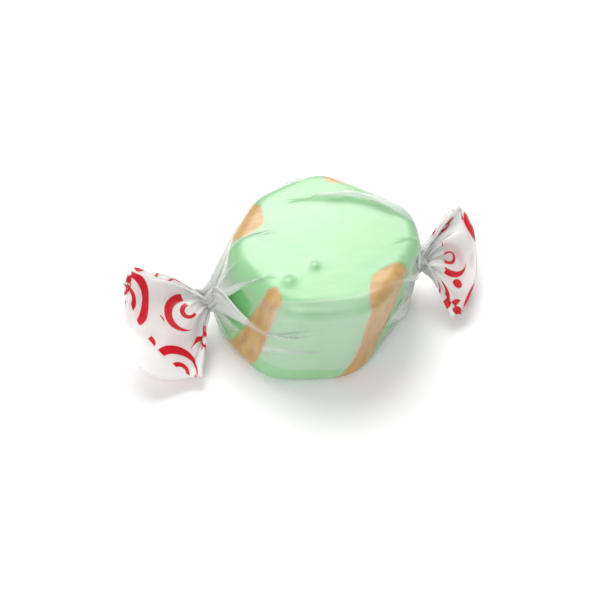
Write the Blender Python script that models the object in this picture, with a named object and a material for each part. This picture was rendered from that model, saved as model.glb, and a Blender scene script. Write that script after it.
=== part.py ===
"""One piece of salt water taffy in its twisted waxed paper, lying on its flat side.

Frame: +Z up, +X along the line between the two twists, origin at the middle of the flat underside.
Sizes are written in millimetres, and each mesh is scaled to metres as it is made.
"""

import math

import bmesh
import bpy
import numpy as np

METRE = 0.001

# The candy: a thick soft disc, a little narrower below, its upper face shifted by LEAN in X and Y
FACE_RADIUS = 13.5
BASE_RADIUS = 13.2
CANDY_HEIGHT = 14.0
EDGE_ROUND = 2.2
LEAN = (3.2, 1.5)
DOME = 0.35
# Flats pressed into the rim: direction in degrees, distance from the axis
RIM_FLATS = ((262.0, 12.9), (322.0, 12.5), (50.0, 11.7), (112.0, 12.9), (146.0, 12.9), (208.0, 12.9))
FLAT_SOFTNESS = 0.35

# Caramel stripes at the rim, which run from face to face: direction in degrees at the lower and at
# the upper face, radius at the lower and at the upper face
STRIPES = ((150, 152, 3.6, 5.0), (206, 222, 3.2, 1.6), (287, 314, 2.8, 4.3), (70, 73, 2.1, 2.1))
STRIPE_INSET = 0.55
STRIPE_CLEARANCE = 0.39

# The waxed paper
PAPER_WALL = 0.35
PAPER_GAP = 0.7
NECK_WALL = 1.5

CANDY_BASE = PAPER_WALL + PAPER_GAP
CANDY_TOP = CANDY_BASE + CANDY_HEIGHT
MIDDLE = (CANDY_BASE + CANDY_TOP) / 2


def smooth_step(low, high, value):
    """0 below low, 1 above high, with a smooth rise between."""
    share = np.clip((np.asarray(value, float) - low) / (high - low), 0.0, 1.0)
    return share * share * (3.0 - 2.0 * share)


def rim_radius(theta, up):
    """The candy's radius in the direction theta, at the share up of its height."""
    radius = BASE_RADIUS + (FACE_RADIUS - BASE_RADIUS) * np.clip(up, 0.0, 1.0)
    total = np.exp(-radius / FLAT_SOFTNESS)
    for direction, distance in RIM_FLATS:
        facing = np.cos(theta - math.radians(direction))
        pressed = distance * radius / FACE_RADIUS / np.maximum(facing, 0.3)
        total = total + np.exp(-pressed / FLAT_SOFTNESS)
    return -FLAT_SOFTNESS * np.log(total)


def lean_at(up):
    """How far the candy's middle is shifted in X and Y, at the share up of its height."""
    return LEAN[0] * (up - 0.5), LEAN[1] * (up - 0.5)


def candy_distance(x, y, z):
    """About how far a point is outside the candy, negative inside."""
    up = (z - CANDY_BASE) / CANDY_HEIGHT
    shift_x, shift_y = lean_at(up)
    radius = rim_radius(np.arctan2(y - shift_y, x - shift_x), up)
    reach = np.hypot(x - shift_x, y - shift_y)
    dome = DOME * np.clip(1.0 - (reach / FACE_RADIUS) ** 2, 0.0, 1.0) * (z > MIDDLE)
    side = reach - (radius - EDGE_ROUND)
    flat = np.abs(z - MIDDLE) - (CANDY_HEIGHT / 2 + dome - EDGE_ROUND)
    outside = np.hypot(np.maximum(side, 0.0), np.maximum(flat, 0.0))
    return outside + np.minimum(np.maximum(side, flat), 0.0) - EDGE_ROUND


def candy_slope(points):
    """The direction in which each point leaves the candy fastest."""
    small = 0.01
    slope = np.stack(
        [
            candy_distance(*np.moveaxis(points + small * axis, -1, 0))
            - candy_distance(*np.moveaxis(points - small * axis, -1, 0))
            for axis in np.eye(3)
        ],
        axis=-1,
    )
    return slope / np.maximum(np.linalg.norm(slope, axis=-1, keepdims=True), 1e-9)


class End:
    """One twisted end of the paper. Angles round the twist line are in degrees: 0 is +Y, 90 is up.

    Its fan is a sector with the half angle spread, flattened to the half thickness thin, whose sides
    curl up by cup and which hangs by droop. Its tongue, where the sheet reaches further, is the share
    across the sector at which it lies and its extra length as a share.
    A pleat is its angle, its height, its half width and the share of the way to the neck where it starts.
    """

    def __init__(self, side, neck, turn, ahead, across, length, spread, thin, cup, droop, tongue, pleats):
        self.side = side
        self.neck = np.array(neck)
        self.turn = math.radians(turn)
        self.ahead = np.array(ahead) / np.linalg.norm(ahead)
        across = np.array(across) - np.dot(across, self.ahead) * self.ahead
        self.across = across / np.linalg.norm(across)
        self.length = length
        self.spread = math.radians(spread)
        self.thin = thin
        self.cup = cup
        self.droop = droop
        self.tongue = tongue
        self.pleats = pleats


LEFT = End(
    side=-1,
    neck=(-15.9, 0.2, 7.0),
    turn=140,
    ahead=(-0.84, -0.53, -0.08),
    across=(-0.02, 0.85, 0.48),
    length=10.7,
    spread=43,
    thin=1.9,
    cup=1.6,
    droop=0.4,
    tongue=(-0.2, 0.5),
    pleats=(
        (14, 1.5, 12, 0.54),
        (44, 1.2, 11, 0.56),
        (74, 1.5, 11, 0.52),
        (102, 1.4, 10, 0.56),
        (126, 1.8, 12, 0.48),
        (174, 2.8, 13, 0.42),
        (218, 1.6, 12, 0.50),
        (262, 1.1, 13, 0.58),
        (300, 1.2, 13, 0.58),
        (338, 1.2, 12, 0.58),
    ),
)
RIGHT = End(
    side=1,
    neck=(15.7, 2.0, 7.0),
    turn=-140,
    ahead=(0.88, -0.02, -0.22),
    across=(-0.28, 0.76, 0.53),
    length=9.4,
    spread=54,
    thin=1.8,
    cup=1.2,
    droop=0.3,
    tongue=(0.2, 0.08),
    pleats=(
        (6, 1.4, 11, 0.54),
        (66, 2.2, 13, 0.38),
        (106, 1.5, 12, 0.52),
        (140, 1.2, 12, 0.58),
        (176, 1.4, 12, 0.52),
        (212, 1.5, 12, 0.52),
        (252, 1.3, 12, 0.56),
        (290, 1.1, 13, 0.60),
        (328, 1.4, 12, 0.54),
    ),
)
NECK_RADIUS = 1.6
NECK_LENGTH = 2.0
NECK_RIDGES = 9
NECK_RIDGE_HEIGHT = 0.28
FAN_FOLD = 0.5
FAN_WAVES = 7
TONGUE_WIDTH = 0.4
HULL_ANGLES = 180
HULL_SAMPLES = 81
HULL_STATIONS = 61


def twist_line(x):
    """The point of the line between the necks at x, as y and z."""
    share = (x - LEFT.neck[0]) / (RIGHT.neck[0] - LEFT.neck[0])
    return (
        LEFT.neck[1] + share * (RIGHT.neck[1] - LEFT.neck[1]),
        LEFT.neck[2] + share * (RIGHT.neck[2] - LEFT.neck[2]),
    )


def candy_reach(x, angle, offset):
    """How far from the twist line, in the direction angle, the candy's surface plus offset lies."""
    y, z = twist_line(x)
    low = np.zeros_like(x)
    high = np.full_like(x, 25.0)
    for _ in range(24):
        middle = (low + high) / 2
        far = candy_distance(x, y + middle * math.cos(angle), z + middle * math.sin(angle)) > offset
        high = np.where(far, middle, high)
        low = np.where(far, low, middle)
    return (low + high) / 2


def upper_hull(points):
    """The part of the points' convex hull that faces outwards, from the first to the last."""
    hull = []
    for point in points:
        while len(hull) > 1:
            (ax, ay), (bx, by) = hull[-2], hull[-1]
            if (bx - ax) * (point[1] - ay) - (by - ay) * (point[0] - ax) < 0:
                break
            hull.pop()
        hull.append(point)
    return np.array(hull)


def taut_lines():
    """The paper drawn tight from neck to neck over the candy, in each direction round the twist line.

    Gives a table of x and of distance from the twist line, for each angle and each station from
    -1 at the left neck, by 0 above the candy's middle, to 1 at the right neck.
    """
    table = np.zeros((HULL_ANGLES, 2 * HULL_STATIONS - 1, 2))
    widest = FACE_RADIUS + LEAN[0]
    x = np.linspace(-widest, widest, HULL_SAMPLES)
    for row in range(HULL_ANGLES):
        reach = candy_reach(x, 2 * math.pi * row / HULL_ANGLES, PAPER_GAP)
        points = [(LEFT.neck[0], NECK_RADIUS)]
        points += [(a, b) for a, b in zip(x, reach) if b > 0.01]
        points += [(RIGHT.neck[0], NECK_RADIUS)]
        hull = upper_hull(points)
        fine = np.linspace(hull[0, 0], hull[-1, 0], 400)
        fine = np.unique(np.concatenate([fine, hull[:, 0], [0.0]]))
        line = np.column_stack([fine, np.interp(fine, hull[:, 0], hull[:, 1])])
        length = np.concatenate([[0.0], np.cumsum(np.hypot(*np.diff(line, axis=0).T))])
        centre = np.interp(0.0, line[:, 0], length)
        ahead = np.linspace(0.0, 1.0, HULL_STATIONS)
        at = np.concatenate([centre * ahead, centre + (length[-1] - centre) * ahead[1:]])
        table[row, :, 0] = np.interp(at, length, line[:, 0])
        table[row, :, 1] = np.interp(at, length, line[:, 1])
    return table


def look_up(table, angle, station):
    """The table's value at an angle in radians and a station from -1 to 1, interpolated."""
    row = (np.asarray(angle) / (2 * math.pi) * HULL_ANGLES) % HULL_ANGLES
    column = (np.asarray(station) + 1.0) * (HULL_STATIONS - 1)
    row_low = np.floor(row).astype(int) % HULL_ANGLES
    row_high = (row_low + 1) % HULL_ANGLES
    column_low = np.clip(np.floor(column).astype(int), 0, table.shape[1] - 2)
    down = (row - np.floor(row))[..., None]
    right = (column - column_low)[..., None]
    near = table[row_low, column_low] * (1 - right) + table[row_low, column_low + 1] * right
    far = table[row_high, column_low] * (1 - right) + table[row_high, column_low + 1] * right
    return near * (1 - down) + far * down


def pleat_height(end, angle, station):
    """How far the end's pleats lift the paper from its taut line, in mm: ridges up, hollows down."""
    height = np.zeros_like(angle)
    total = sum(tall for _, tall, _, _ in end.pleats) / len(end.pleats)
    for direction, tall, half_width, start in end.pleats:
        away = (angle - math.radians(direction) + math.pi) % (2 * math.pi) - math.pi
        # Each pleat leans over: its far side is steeper than its near side
        width = math.radians(half_width) * np.where(away > 0, 0.65, 1.35)
        ridge = np.clip(1.0 - np.abs(away) / width, 0.0, 1.0)
        rise = smooth_step(start, 0.86, station) * (1 - 0.8 * smooth_step(0.86, 1.0, station))
        height = height + tall * rise * ridge
    return height - 0.45 * total * smooth_step(0.55, 0.8, station) * (1 - smooth_step(0.86, 1.0, station))


def body_points(table, u, station):
    """The paper's inner and outer surface between the necks, at the share u round and the stations."""
    end = np.where(station < 0, -1, 1)
    near_neck = np.abs(station)
    turn = np.where(end < 0, LEFT.turn, RIGHT.turn)
    angle = 2 * math.pi * u + turn * 0.12 * smooth_step(0.6, 1.0, near_neck)
    at = look_up(table, angle, station)
    step = 0.02
    before = look_up(table, angle, np.clip(station - step, -1, 1))
    after = look_up(table, angle, np.clip(station + step, -1, 1))
    along = after - before
    along /= np.linalg.norm(along, axis=-1, keepdims=True)
    level = smooth_step(0.78, 0.98, near_neck)
    out_x = -along[..., 1] * (1 - level)
    out_r = along[..., 0] * (1 - level) + level
    lift = np.where(
        end < 0,
        pleat_height(LEFT, 2 * math.pi * u, near_neck),
        pleat_height(RIGHT, 2 * math.pi * u, near_neck),
    )
    ridges = NECK_RIDGE_HEIGHT * np.cos(NECK_RIDGES * 2 * math.pi * u)
    lift = lift + ridges * smooth_step(0.8, 1.0, near_neck)
    thickening = (NECK_WALL - PAPER_WALL) * smooth_step(0.9, 1.0, near_neck)

    def place(outwards):
        x = at[..., 0] + out_x * outwards
        reach = at[..., 1] + out_r * outwards
        y, z = twist_line(x)
        return np.stack([x, y + reach * np.cos(angle), z + reach * np.sin(angle)], axis=-1)

    inner = place(lift - thickening)
    outer = place(lift + PAPER_WALL)
    # The paper can't enter the candy: both surfaces move out together where a hollow reaches it
    for _ in range(4):
        push = np.maximum(PAPER_GAP - candy_distance(*np.moveaxis(inner, -1, 0)), 0.0)[..., None]
        away = candy_slope(inner) * push * (near_neck < 0.93)[..., None]
        inner = inner + away
        outer = outer + away
    return inner, outer


def fan_points(end, u, travel):
    """The neck and the fan of one end: travel is the distance in mm from where the gather stops."""
    past_neck = np.maximum(travel - NECK_LENGTH, 0.0)
    share = past_neck / end.length
    angle = 2 * math.pi * u + end.turn * (0.12 + 0.88 * smooth_step(0.0, NECK_LENGTH, travel))
    throat = NECK_RADIUS + PAPER_WALL
    opening = share**0.5
    ridges = NECK_RIDGE_HEIGHT * np.cos(NECK_RIDGES * 2 * math.pi * u) * (1 - smooth_step(0.0, 0.3, share))
    fold = FAN_FOLD * opening * (np.cos(FAN_WAVES * angle + 1.0) + 0.45 * np.cos(3 * angle + 1.3))
    wall = NECK_WALL + (PAPER_WALL - NECK_WALL) * smooth_step(0.0, 0.12, share)
    half_depth = throat + (end.thin - throat) * opening
    # Each point lies along its own ray of the sector, which leaves the neck at the angle turn
    swing = np.cos(angle)
    turn = end.spread * swing * smooth_step(0.0, 0.35, share)
    forward = np.minimum(travel, NECK_LENGTH) + past_neck * np.cos(turn)
    curl = end.cup * share * (swing**2 - 0.4) - end.droop * share**2
    # The middle line leaves the neck along the twist line and bends over to its own direction
    steps = 64
    marks = np.linspace(0.0, NECK_LENGTH + end.length * 1.6, steps)
    bend = smooth_step(0.4, NECK_LENGTH + 2.6, marks)[:, None]
    start = np.array([float(end.side), 0.0, 0.0])
    heading = start * (1 - bend) + end.ahead * bend
    heading /= np.linalg.norm(heading, axis=1, keepdims=True)
    travelled = np.cumsum(heading[:-1] * np.diff(marks)[:, None], axis=0)
    line = np.concatenate([[end.neck], end.neck + travelled])
    side = np.array([0.0, 1.0, 0.0]) * (1 - bend) + end.across * bend
    side -= (side * heading).sum(axis=1, keepdims=True) * heading
    side /= np.linalg.norm(side, axis=1, keepdims=True)
    top = np.cross(heading, side) * end.side
    centre, across, over = (
        np.stack([np.interp(forward, marks, part[:, axis]) for axis in range(3)], axis=-1)
        for part in (line, side, top)
    )

    def place(inwards):
        spread = (throat + ridges - inwards + 0.3 * fold) * swing + past_neck * np.sin(turn)
        depth = (half_depth + ridges - inwards + fold) * np.sin(angle) + curl
        return centre + across * spread[..., None] + over * depth[..., None]

    return place(wall), place(0.0)


# Underneath, the paper touches the table over a flat middle and at four points round it
REST_MIDDLE = (-1.6, -0.7)
REST_RADIUS = 5.0
REST_POINTS = ((6.6, 6.4), (-7.4, 6.6), (-7.8, -6.2), (6.2, -6.6))
REST_LIFT = 0.12


def rest_on_table(outer):
    """Flattens the underside, so that the piece rests on its middle and on its four points."""
    away = np.hypot(outer[..., 0] - REST_MIDDLE[0], outer[..., 1] - REST_MIDDLE[1])
    under = (outer[..., 2] < 1.0) & (away < 13.0)
    flat = under & (away < REST_RADIUS)
    height = np.where(under, np.maximum(outer[..., 2], REST_LIFT), outer[..., 2])
    height = np.where(flat, 0.0, height)
    for x, y in REST_POINTS:
        beyond = np.hypot(outer[..., 0] - REST_MIDDLE[0] - x, outer[..., 1] - REST_MIDDLE[1] - y)
        nearest = np.argmin(np.where(under, beyond, np.inf))
        height.flat[nearest] = 0.0
    return np.concatenate([outer[..., :2], height[..., None]], axis=-1)


AROUND = 56
BODY_STATIONS = (0.18, 0.34, 0.46, 0.54, 0.60, 0.66, 0.72, 0.78, 0.84, 0.90, 0.96)
NECK_STEPS = 3
FAN_STEPS = 8


def free_edge(end, u):
    """How far the fan reaches at the share u round, as a share of its length: the cut edge isn't even."""
    place, extra = end.tongue
    tongue = extra * np.exp(-(((np.cos(2 * math.pi * u + end.turn) - place) / TONGUE_WIDTH) ** 2))
    return 1.0 + tongue + 0.02 * np.cos(4 * math.pi * u + end.side) + 0.02 * np.cos(10 * math.pi * u)


def wrapper_rings():
    """Rings of points from the left fan's edge to the right one's, as inner and outer surface."""
    table = taut_lines()
    u = np.arange(AROUND) / AROUND
    inner, outer = [], []

    def end_rings(end):
        rings = []
        for step in range(NECK_STEPS + FAN_STEPS + 1):
            if step <= NECK_STEPS:
                travel = np.full(AROUND, NECK_LENGTH * step / NECK_STEPS)
            else:
                share = (step - NECK_STEPS) / FAN_STEPS
                travel = NECK_LENGTH + end.length * share * (1 + (free_edge(end, u) - 1) * share)
            rings.append(fan_points(end, u, travel))
        return rings

    stations = [-s for s in reversed(BODY_STATIONS)] + [0.0] + list(BODY_STATIONS)
    for ring in reversed(end_rings(LEFT)):
        inner.append(ring[0])
        outer.append(ring[1])
    for station in stations:
        ring = body_points(table, u, np.full(AROUND, station))
        inner.append(ring[0])
        outer.append(ring[1])
    for ring in end_rings(RIGHT):
        inner.append(ring[0])
        outer.append(ring[1])
    return np.array(inner), rest_on_table(np.array(outer))


def material(name, colour, roughness, alpha=1.0):
    made = bpy.data.materials.new(name)
    made.use_nodes = True
    shader = made.node_tree.nodes["Principled BSDF"]
    shader.inputs["Base Color"].default_value = (*colour, 1.0)
    shader.inputs["Roughness"].default_value = roughness
    shader.inputs["Metallic"].default_value = 0.0
    shader.inputs["Alpha"].default_value = alpha
    return made


def add_object(name, mesh, surface):
    made = bpy.data.objects.new(name, mesh)
    bpy.context.scene.collection.objects.link(made)
    if surface is not None:
        mesh.materials.append(surface)
    return made


def mesh_from(name, points, faces):
    mesh = bpy.data.meshes.new(name)
    mesh.from_pydata([tuple(METRE * c for c in p) for p in points], [], faces)
    mesh.validate()
    check = bmesh.new()
    check.from_mesh(mesh)
    bmesh.ops.recalc_face_normals(check, faces=check.faces)
    check.to_mesh(mesh)
    check.free()
    return mesh


def wrapper_mesh():
    """A thin-walled tube of paper from the rings, open at the two fans."""
    inner, outer = wrapper_rings()
    rings, around = inner.shape[:2]
    points = np.concatenate([inner.reshape(-1, 3), outer.reshape(-1, 3)])
    offset = rings * around
    faces = []
    for ring in range(rings - 1):
        for a in range(around):
            b = (a + 1) % around
            low = ring * around
            high = low + around
            faces.append((low + a, low + b, high + b, high + a))
            faces.append((offset + low + b, offset + low + a, offset + high + a, offset + high + b))
    for ring in (0, rings - 1):
        for a in range(around):
            b = (a + 1) % around
            low = ring * around
            rim = (low + a, offset + low + a, offset + low + b, low + b)
            faces.append(rim if ring == 0 else rim[::-1])
    return mesh_from("wrapper", points, faces)


CANDY_AROUND = 60
EDGE_STEPS = 4
SIDE_STEPS = 3


def candy_mesh(name):
    """The whole candy as one closed solid, before the stripes are let into it."""
    theta = 2 * np.pi * np.arange(CANDY_AROUND) / CANDY_AROUND
    half = CANDY_HEIGHT / 2 - EDGE_ROUND
    profile = []
    for step in range(EDGE_STEPS + 1):
        turn = math.pi / 2 * step / EDGE_STEPS
        profile.append((-EDGE_ROUND * (1 - math.sin(turn)), -half - EDGE_ROUND * math.cos(turn)))
    for step in range(1, SIDE_STEPS):
        profile.append((0.0, -half + 2 * half * step / SIDE_STEPS))
    profile += [(inset, -height) for inset, height in reversed(profile[: EDGE_STEPS + 1])]
    points = []

    def add_ring(radius, up, z):
        shift_x, shift_y = lean_at(up)
        x, y = shift_x + radius * np.cos(theta), shift_y + radius * np.sin(theta)
        points.append(np.column_stack([x, y, z]))

    for inset, height in profile:
        up = (height + CANDY_HEIGHT / 2) / CANDY_HEIGHT
        radius = rim_radius(theta, up) + inset
        rise = DOME * np.clip(1 - (radius / FACE_RADIUS) ** 2, 0, 1) * (height > 0)
        add_ring(radius, up, MIDDLE + height + rise)
    for share in (0.66, 0.33):
        radius = share * (rim_radius(theta, 1.0) - EDGE_ROUND)
        add_ring(radius, 1.0, CANDY_TOP + DOME * (1 - (radius / FACE_RADIUS) ** 2))
    middles = [[*lean_at(0.0), CANDY_BASE], [*lean_at(1.0), CANDY_TOP + DOME]]
    rings = len(points)
    points = np.concatenate(points + [middles])
    faces = []
    for ring in range(rings - 1):
        for a in range(CANDY_AROUND):
            b = (a + 1) % CANDY_AROUND
            low = ring * CANDY_AROUND
            faces.append((low + a, low + b, low + CANDY_AROUND + b, low + CANDY_AROUND + a))
    last = (rings - 1) * CANDY_AROUND
    bottom, top = rings * CANDY_AROUND, rings * CANDY_AROUND + 1
    for a in range(CANDY_AROUND):
        b = (a + 1) % CANDY_AROUND
        faces.append((bottom, b, a))
        faces.append((top, last + a, last + b))
    return mesh_from(name, points, faces)


def stripe_tool(index, grow):
    """The round bar whose overlap with the candy is a stripe: it runs slanting along the rim."""
    below, above, radius_below, radius_above = STRIPES[index]
    sides, levels = 20, 6
    points = []
    for level in range(levels):
        share = level / (levels - 1)
        heading = math.radians(below + (above - below) * share)
        radius = radius_below + (radius_above - radius_below) * share
        reach = float(rim_radius(heading, share)) - STRIPE_INSET + 0.45 * radius
        shift_x, shift_y = lean_at(share)
        height = CANDY_BASE - 2.0 + (CANDY_HEIGHT + 4.0) * share
        for side in range(sides):
            turn = 2 * math.pi * side / sides
            x = reach * math.cos(heading) + (radius + grow) * math.cos(turn) + shift_x
            y = reach * math.sin(heading) + (radius + grow) * math.sin(turn) + shift_y
            points.append((x, y, height))
    faces = [tuple(range(sides))[::-1], tuple(range((levels - 1) * sides, levels * sides))]
    for level in range(levels - 1):
        for side in range(sides):
            low, after = level * sides + side, level * sides + (side + 1) % sides
            faces.append((low, after, sides + after, sides + low))
    return add_object(f"stripe_tool_{index}_{grow:g}", mesh_from("stripe_tool", points, faces), None)


def combine(target, tool, operation):
    """Applies a Boolean of the tool to the target, and removes the tool."""
    step = target.modifiers.new("combine", "BOOLEAN")
    step.operation = operation
    step.solver = "EXACT"
    step.object = tool
    bpy.context.view_layer.update()
    graph = bpy.context.evaluated_depsgraph_get()
    made = bpy.data.meshes.new_from_object(target.evaluated_get(graph))
    target.modifiers.clear()
    target.data = made
    bpy.data.objects.remove(tool)


def shade(made, degrees):
    made.data.shade_smooth()
    made.data.set_sharp_from_angle(angle=math.radians(degrees))


def build():
    for old in list(bpy.data.objects):
        bpy.data.objects.remove(old)
    green = material("green_taffy", (0.42, 0.78, 0.40), 0.45)
    caramel = material("caramel_taffy", (0.55, 0.30, 0.10), 0.45)
    paper = material("waxed_paper", (0.86, 0.90, 0.86), 0.35, alpha=0.45)
    taffy = add_object("taffy", candy_mesh("taffy"), green)
    for index in range(len(STRIPES)):
        stripe = add_object(f"caramel_stripe_{index + 1}", candy_mesh("stripe"), caramel)
        combine(stripe, stripe_tool(index, 0.0), "INTERSECT")
        combine(taffy, stripe_tool(index, STRIPE_CLEARANCE), "DIFFERENCE")
        shade(stripe, 40)
    shade(taffy, 40)
    wrapper = add_object("wrapper", wrapper_mesh(), paper)
    shade(wrapper, 50)


build()
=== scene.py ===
import math
from dataclasses import dataclass

import bpy
import numpy as np
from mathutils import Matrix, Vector


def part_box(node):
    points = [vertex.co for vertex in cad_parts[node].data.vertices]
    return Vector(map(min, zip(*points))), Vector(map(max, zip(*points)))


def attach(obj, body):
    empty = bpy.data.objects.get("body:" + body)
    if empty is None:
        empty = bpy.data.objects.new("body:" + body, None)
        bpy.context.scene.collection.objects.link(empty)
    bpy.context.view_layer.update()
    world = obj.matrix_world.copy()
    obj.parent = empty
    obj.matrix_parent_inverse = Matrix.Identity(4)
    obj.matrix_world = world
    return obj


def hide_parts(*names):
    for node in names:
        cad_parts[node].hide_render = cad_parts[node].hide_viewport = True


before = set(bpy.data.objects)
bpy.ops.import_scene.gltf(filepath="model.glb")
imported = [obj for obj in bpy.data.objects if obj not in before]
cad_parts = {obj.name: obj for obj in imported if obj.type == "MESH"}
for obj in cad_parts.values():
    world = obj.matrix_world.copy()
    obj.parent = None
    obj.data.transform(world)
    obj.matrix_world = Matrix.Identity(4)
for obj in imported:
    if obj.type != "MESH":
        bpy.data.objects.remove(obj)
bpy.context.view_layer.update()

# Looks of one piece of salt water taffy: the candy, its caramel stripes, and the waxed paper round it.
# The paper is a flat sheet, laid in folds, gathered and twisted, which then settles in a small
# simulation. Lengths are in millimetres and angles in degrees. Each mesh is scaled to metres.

METRE = 0.001

# The candy's place comes from the frame. Its solid keeps clear of the paper's, and here both touch:
# the candy grows by that room, and the paper has UNDER_CANDY between the candy and the table.
CANDY_LOW, CANDY_HIGH = (np.array(corner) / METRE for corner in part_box("taffy"))
DOME = 0.35
UNDER_CANDY = 0.12
CANDY_BASE = CANDY_LOW[2]
CANDY_HEIGHT = CANDY_HIGH[2] - CANDY_BASE - DOME
MIDDLE = CANDY_BASE + CANDY_HEIGHT / 2
GROW = CANDY_BASE - UNDER_CANDY

# The candy's outline: a thick soft disc with flats pressed into its rim, as direction and distance
FACE_RADIUS = 13.5
BASE_RADIUS = 13.2
EDGE_ROUND = 2.0
HALF_HEIGHT = CANDY_HEIGHT / 2 + GROW
LEAN = (3.2, 1.5)
RIM_FLATS = ((262, 12.9), (322, 12.5), (50, 11.7), (112, 12.9), (146, 12.9), (208, 12.9))
FLAT_SOFTNESS = 0.35
LEAST_FACING = 0.3
# Small bumps on the upper face: place, radius, height
FACE_BUMPS = ((-5.3, -6.7, 1.1, 0.5), (-1.0, -4.5, 0.8, 0.45))
BUMP_STEEPNESS = 1.6

# Caramel stripes at the rim: direction at the lower and the upper face, radius at the same two
STRIPES = ((150, 152, 3.6, 4.6), (206, 224, 3.2, 1.5), (289, 309, 2.7, 5.2), (70, 73, 2.1, 2.1))
STRIPE_INSET = 0.95
STRIPE_BULGE = 0.45
STRIPE_SLANT = 0.5

# The sheet of paper. Its first edge starts at LAP_START round the twist line (0 is +Y, 90 is up),
# and the sheet goes round once and on to LAP_END, so that the front has two layers. A tuck, where
# some of its width is folded under, runs along it from end to end.
LAP_START = 139
LAP_END = 195
TUCK = 396
TUCK_WIDTH = 3.4
GRID = 1.7
TO_NECK = 20.9
NECK_LENGTH = 2.0
PAPER_THICKNESS = 0.05
SHEET_UNIT = 100.0
# The paper's distance from the candy, how much further out its last layer lies, and the table's room
TOUCH = 0.05
LAYER_STEP = 0.2
TABLE_GAP = 0.04

# A fan's layers: the folds' relative widths, how unevenly they spread, where they open, their height
# from the first edge to the last, and how much wider the top one opens. They share the fan's waves,
# which grow over a share of the fan.
FOLD_WIDTHS = (0.75, 1.25)
FOLD_SWING = 0.98
FAN_UNEVEN = 0.08
FAN_OPENS = (-0.6, 0.5)
FAN_LEVELS = (0.8, -1.0, 1.0)
TOP_OPEN = 0.22
TOP_LEVEL = (0.3, 0.9)
FOLD_AT_NECK = 0.75
THIN_AT_NECK = 0.75
CUP_BALANCE = 0.4
FAN_WAVE = 0.7
FAN_WAVES = ((1.0, 5.2, 1), (0.5, 9.5, 2))
WAVES_GROWN = 0.45
LOBE_LENGTH = 2.4
LOBE_WIDTH = 0.5

# Limits that keep a division sound, and a place on a grid before the grid's end
TINY = 1e-9
SMALL = 1e-6
BEFORE_END = 1.001


def smooth_step(low, high, value):
    """0 below low, 1 above high, with a smooth rise between."""
    share = np.clip((np.asarray(value, float) - low) / (high - low), 0.0, 1.0)
    return share * share * (3.0 - 2.0 * share)


def waves(shapes, value, seed=1):
    """A sum of sine waves. Each shape is a wave's size, its rate and how the seed shifts it."""
    return sum(size * np.sin(rate * value + shift * seed) for size, rate, shift in shapes)


def unit(vector):
    vector = np.array(vector, float)
    return vector / np.linalg.norm(vector)


def rim_radius(theta, up):
    """The candy's radius in the direction theta, at the share up of its height, with its growth."""
    radius = BASE_RADIUS + (FACE_RADIUS - BASE_RADIUS) * np.clip(up, 0.0, 1.0)
    total = np.exp(-radius / FLAT_SOFTNESS)
    for direction, distance in RIM_FLATS:
        facing = np.cos(theta - math.radians(direction))
        pressed = distance * radius / FACE_RADIUS / np.maximum(facing, LEAST_FACING)
        total = total + np.exp(-pressed / FLAT_SOFTNESS)
    return GROW - FLAT_SOFTNESS * np.log(total)


def lean_at(up):
    """How far the candy's middle is shifted in X and Y, at the share up of its height."""
    return LEAN[0] * (up - 0.5), LEAN[1] * (up - 0.5)


def face_height(x, y, reach):
    """How far the upper face stands above its flat plane."""
    height = DOME * np.clip(1.0 - (reach / FACE_RADIUS) ** 2, 0.0, 1.0)
    for bump_x, bump_y, radius, tall in FACE_BUMPS:
        away = ((x - bump_x) ** 2 + (y - bump_y) ** 2) / radius**2
        height = height + tall * np.exp(-away * BUMP_STEEPNESS)
    return height


def candy_distance(points):
    """About how far each point is outside the candy, negative inside."""
    x, y, z = points[..., 0], points[..., 1], points[..., 2]
    up = (z - CANDY_BASE) / CANDY_HEIGHT
    shift_x, shift_y = lean_at(up)
    reach = np.hypot(x - shift_x, y - shift_y)
    radius = rim_radius(np.arctan2(y - shift_y, x - shift_x), up)
    side = reach - (radius - EDGE_ROUND)
    flat = np.abs(z - MIDDLE) - (HALF_HEIGHT - EDGE_ROUND)
    flat = flat - face_height(x, y, reach) * (z > MIDDLE)
    outside = np.hypot(np.maximum(side, 0.0), np.maximum(flat, 0.0))
    return outside + np.minimum(np.maximum(side, flat), 0.0) - EDGE_ROUND


def interpolated(table, places):
    """A table's rows of values at places between its points, given in steps along each axis."""
    axes = places.shape[-1]
    places = np.clip(places, 0, np.array(table.shape[:axes]) - BEFORE_END)
    cell = places.astype(int)
    part = places - cell
    values = 0.0
    for corner in np.ndindex((2,) * axes):
        weight = np.prod(np.where(corner, part, 1 - part), axis=-1)
        values = values + weight[..., None] * table[tuple(np.moveaxis(cell + corner, -1, 0))]
    return values


class CandyField:
    """The candy's distance and slope as a table that is quick to look up."""

    STEP = 0.25
    LOW = np.array([-20.0, -19.0, -2.0])
    SPAN = np.array([40.0, 38.0, 21.0])

    def __init__(self):
        count = (self.SPAN / self.STEP).astype(int) + 1
        axes = [low + self.STEP * np.arange(n) for low, n in zip(self.LOW, count)]
        distance = candy_distance(np.stack(np.meshgrid(*axes, indexing="ij"), -1))
        self.table = np.stack([distance, *np.gradient(distance, self.STEP)], -1)

    def look_up(self, points):
        values = interpolated(self.table, (points - self.LOW) / self.STEP)
        distance, slope = values[..., 0], values[..., 1:]
        return distance, slope / np.maximum(np.linalg.norm(slope, axis=-1, keepdims=True), TINY)


CANDY = CandyField()


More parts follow.
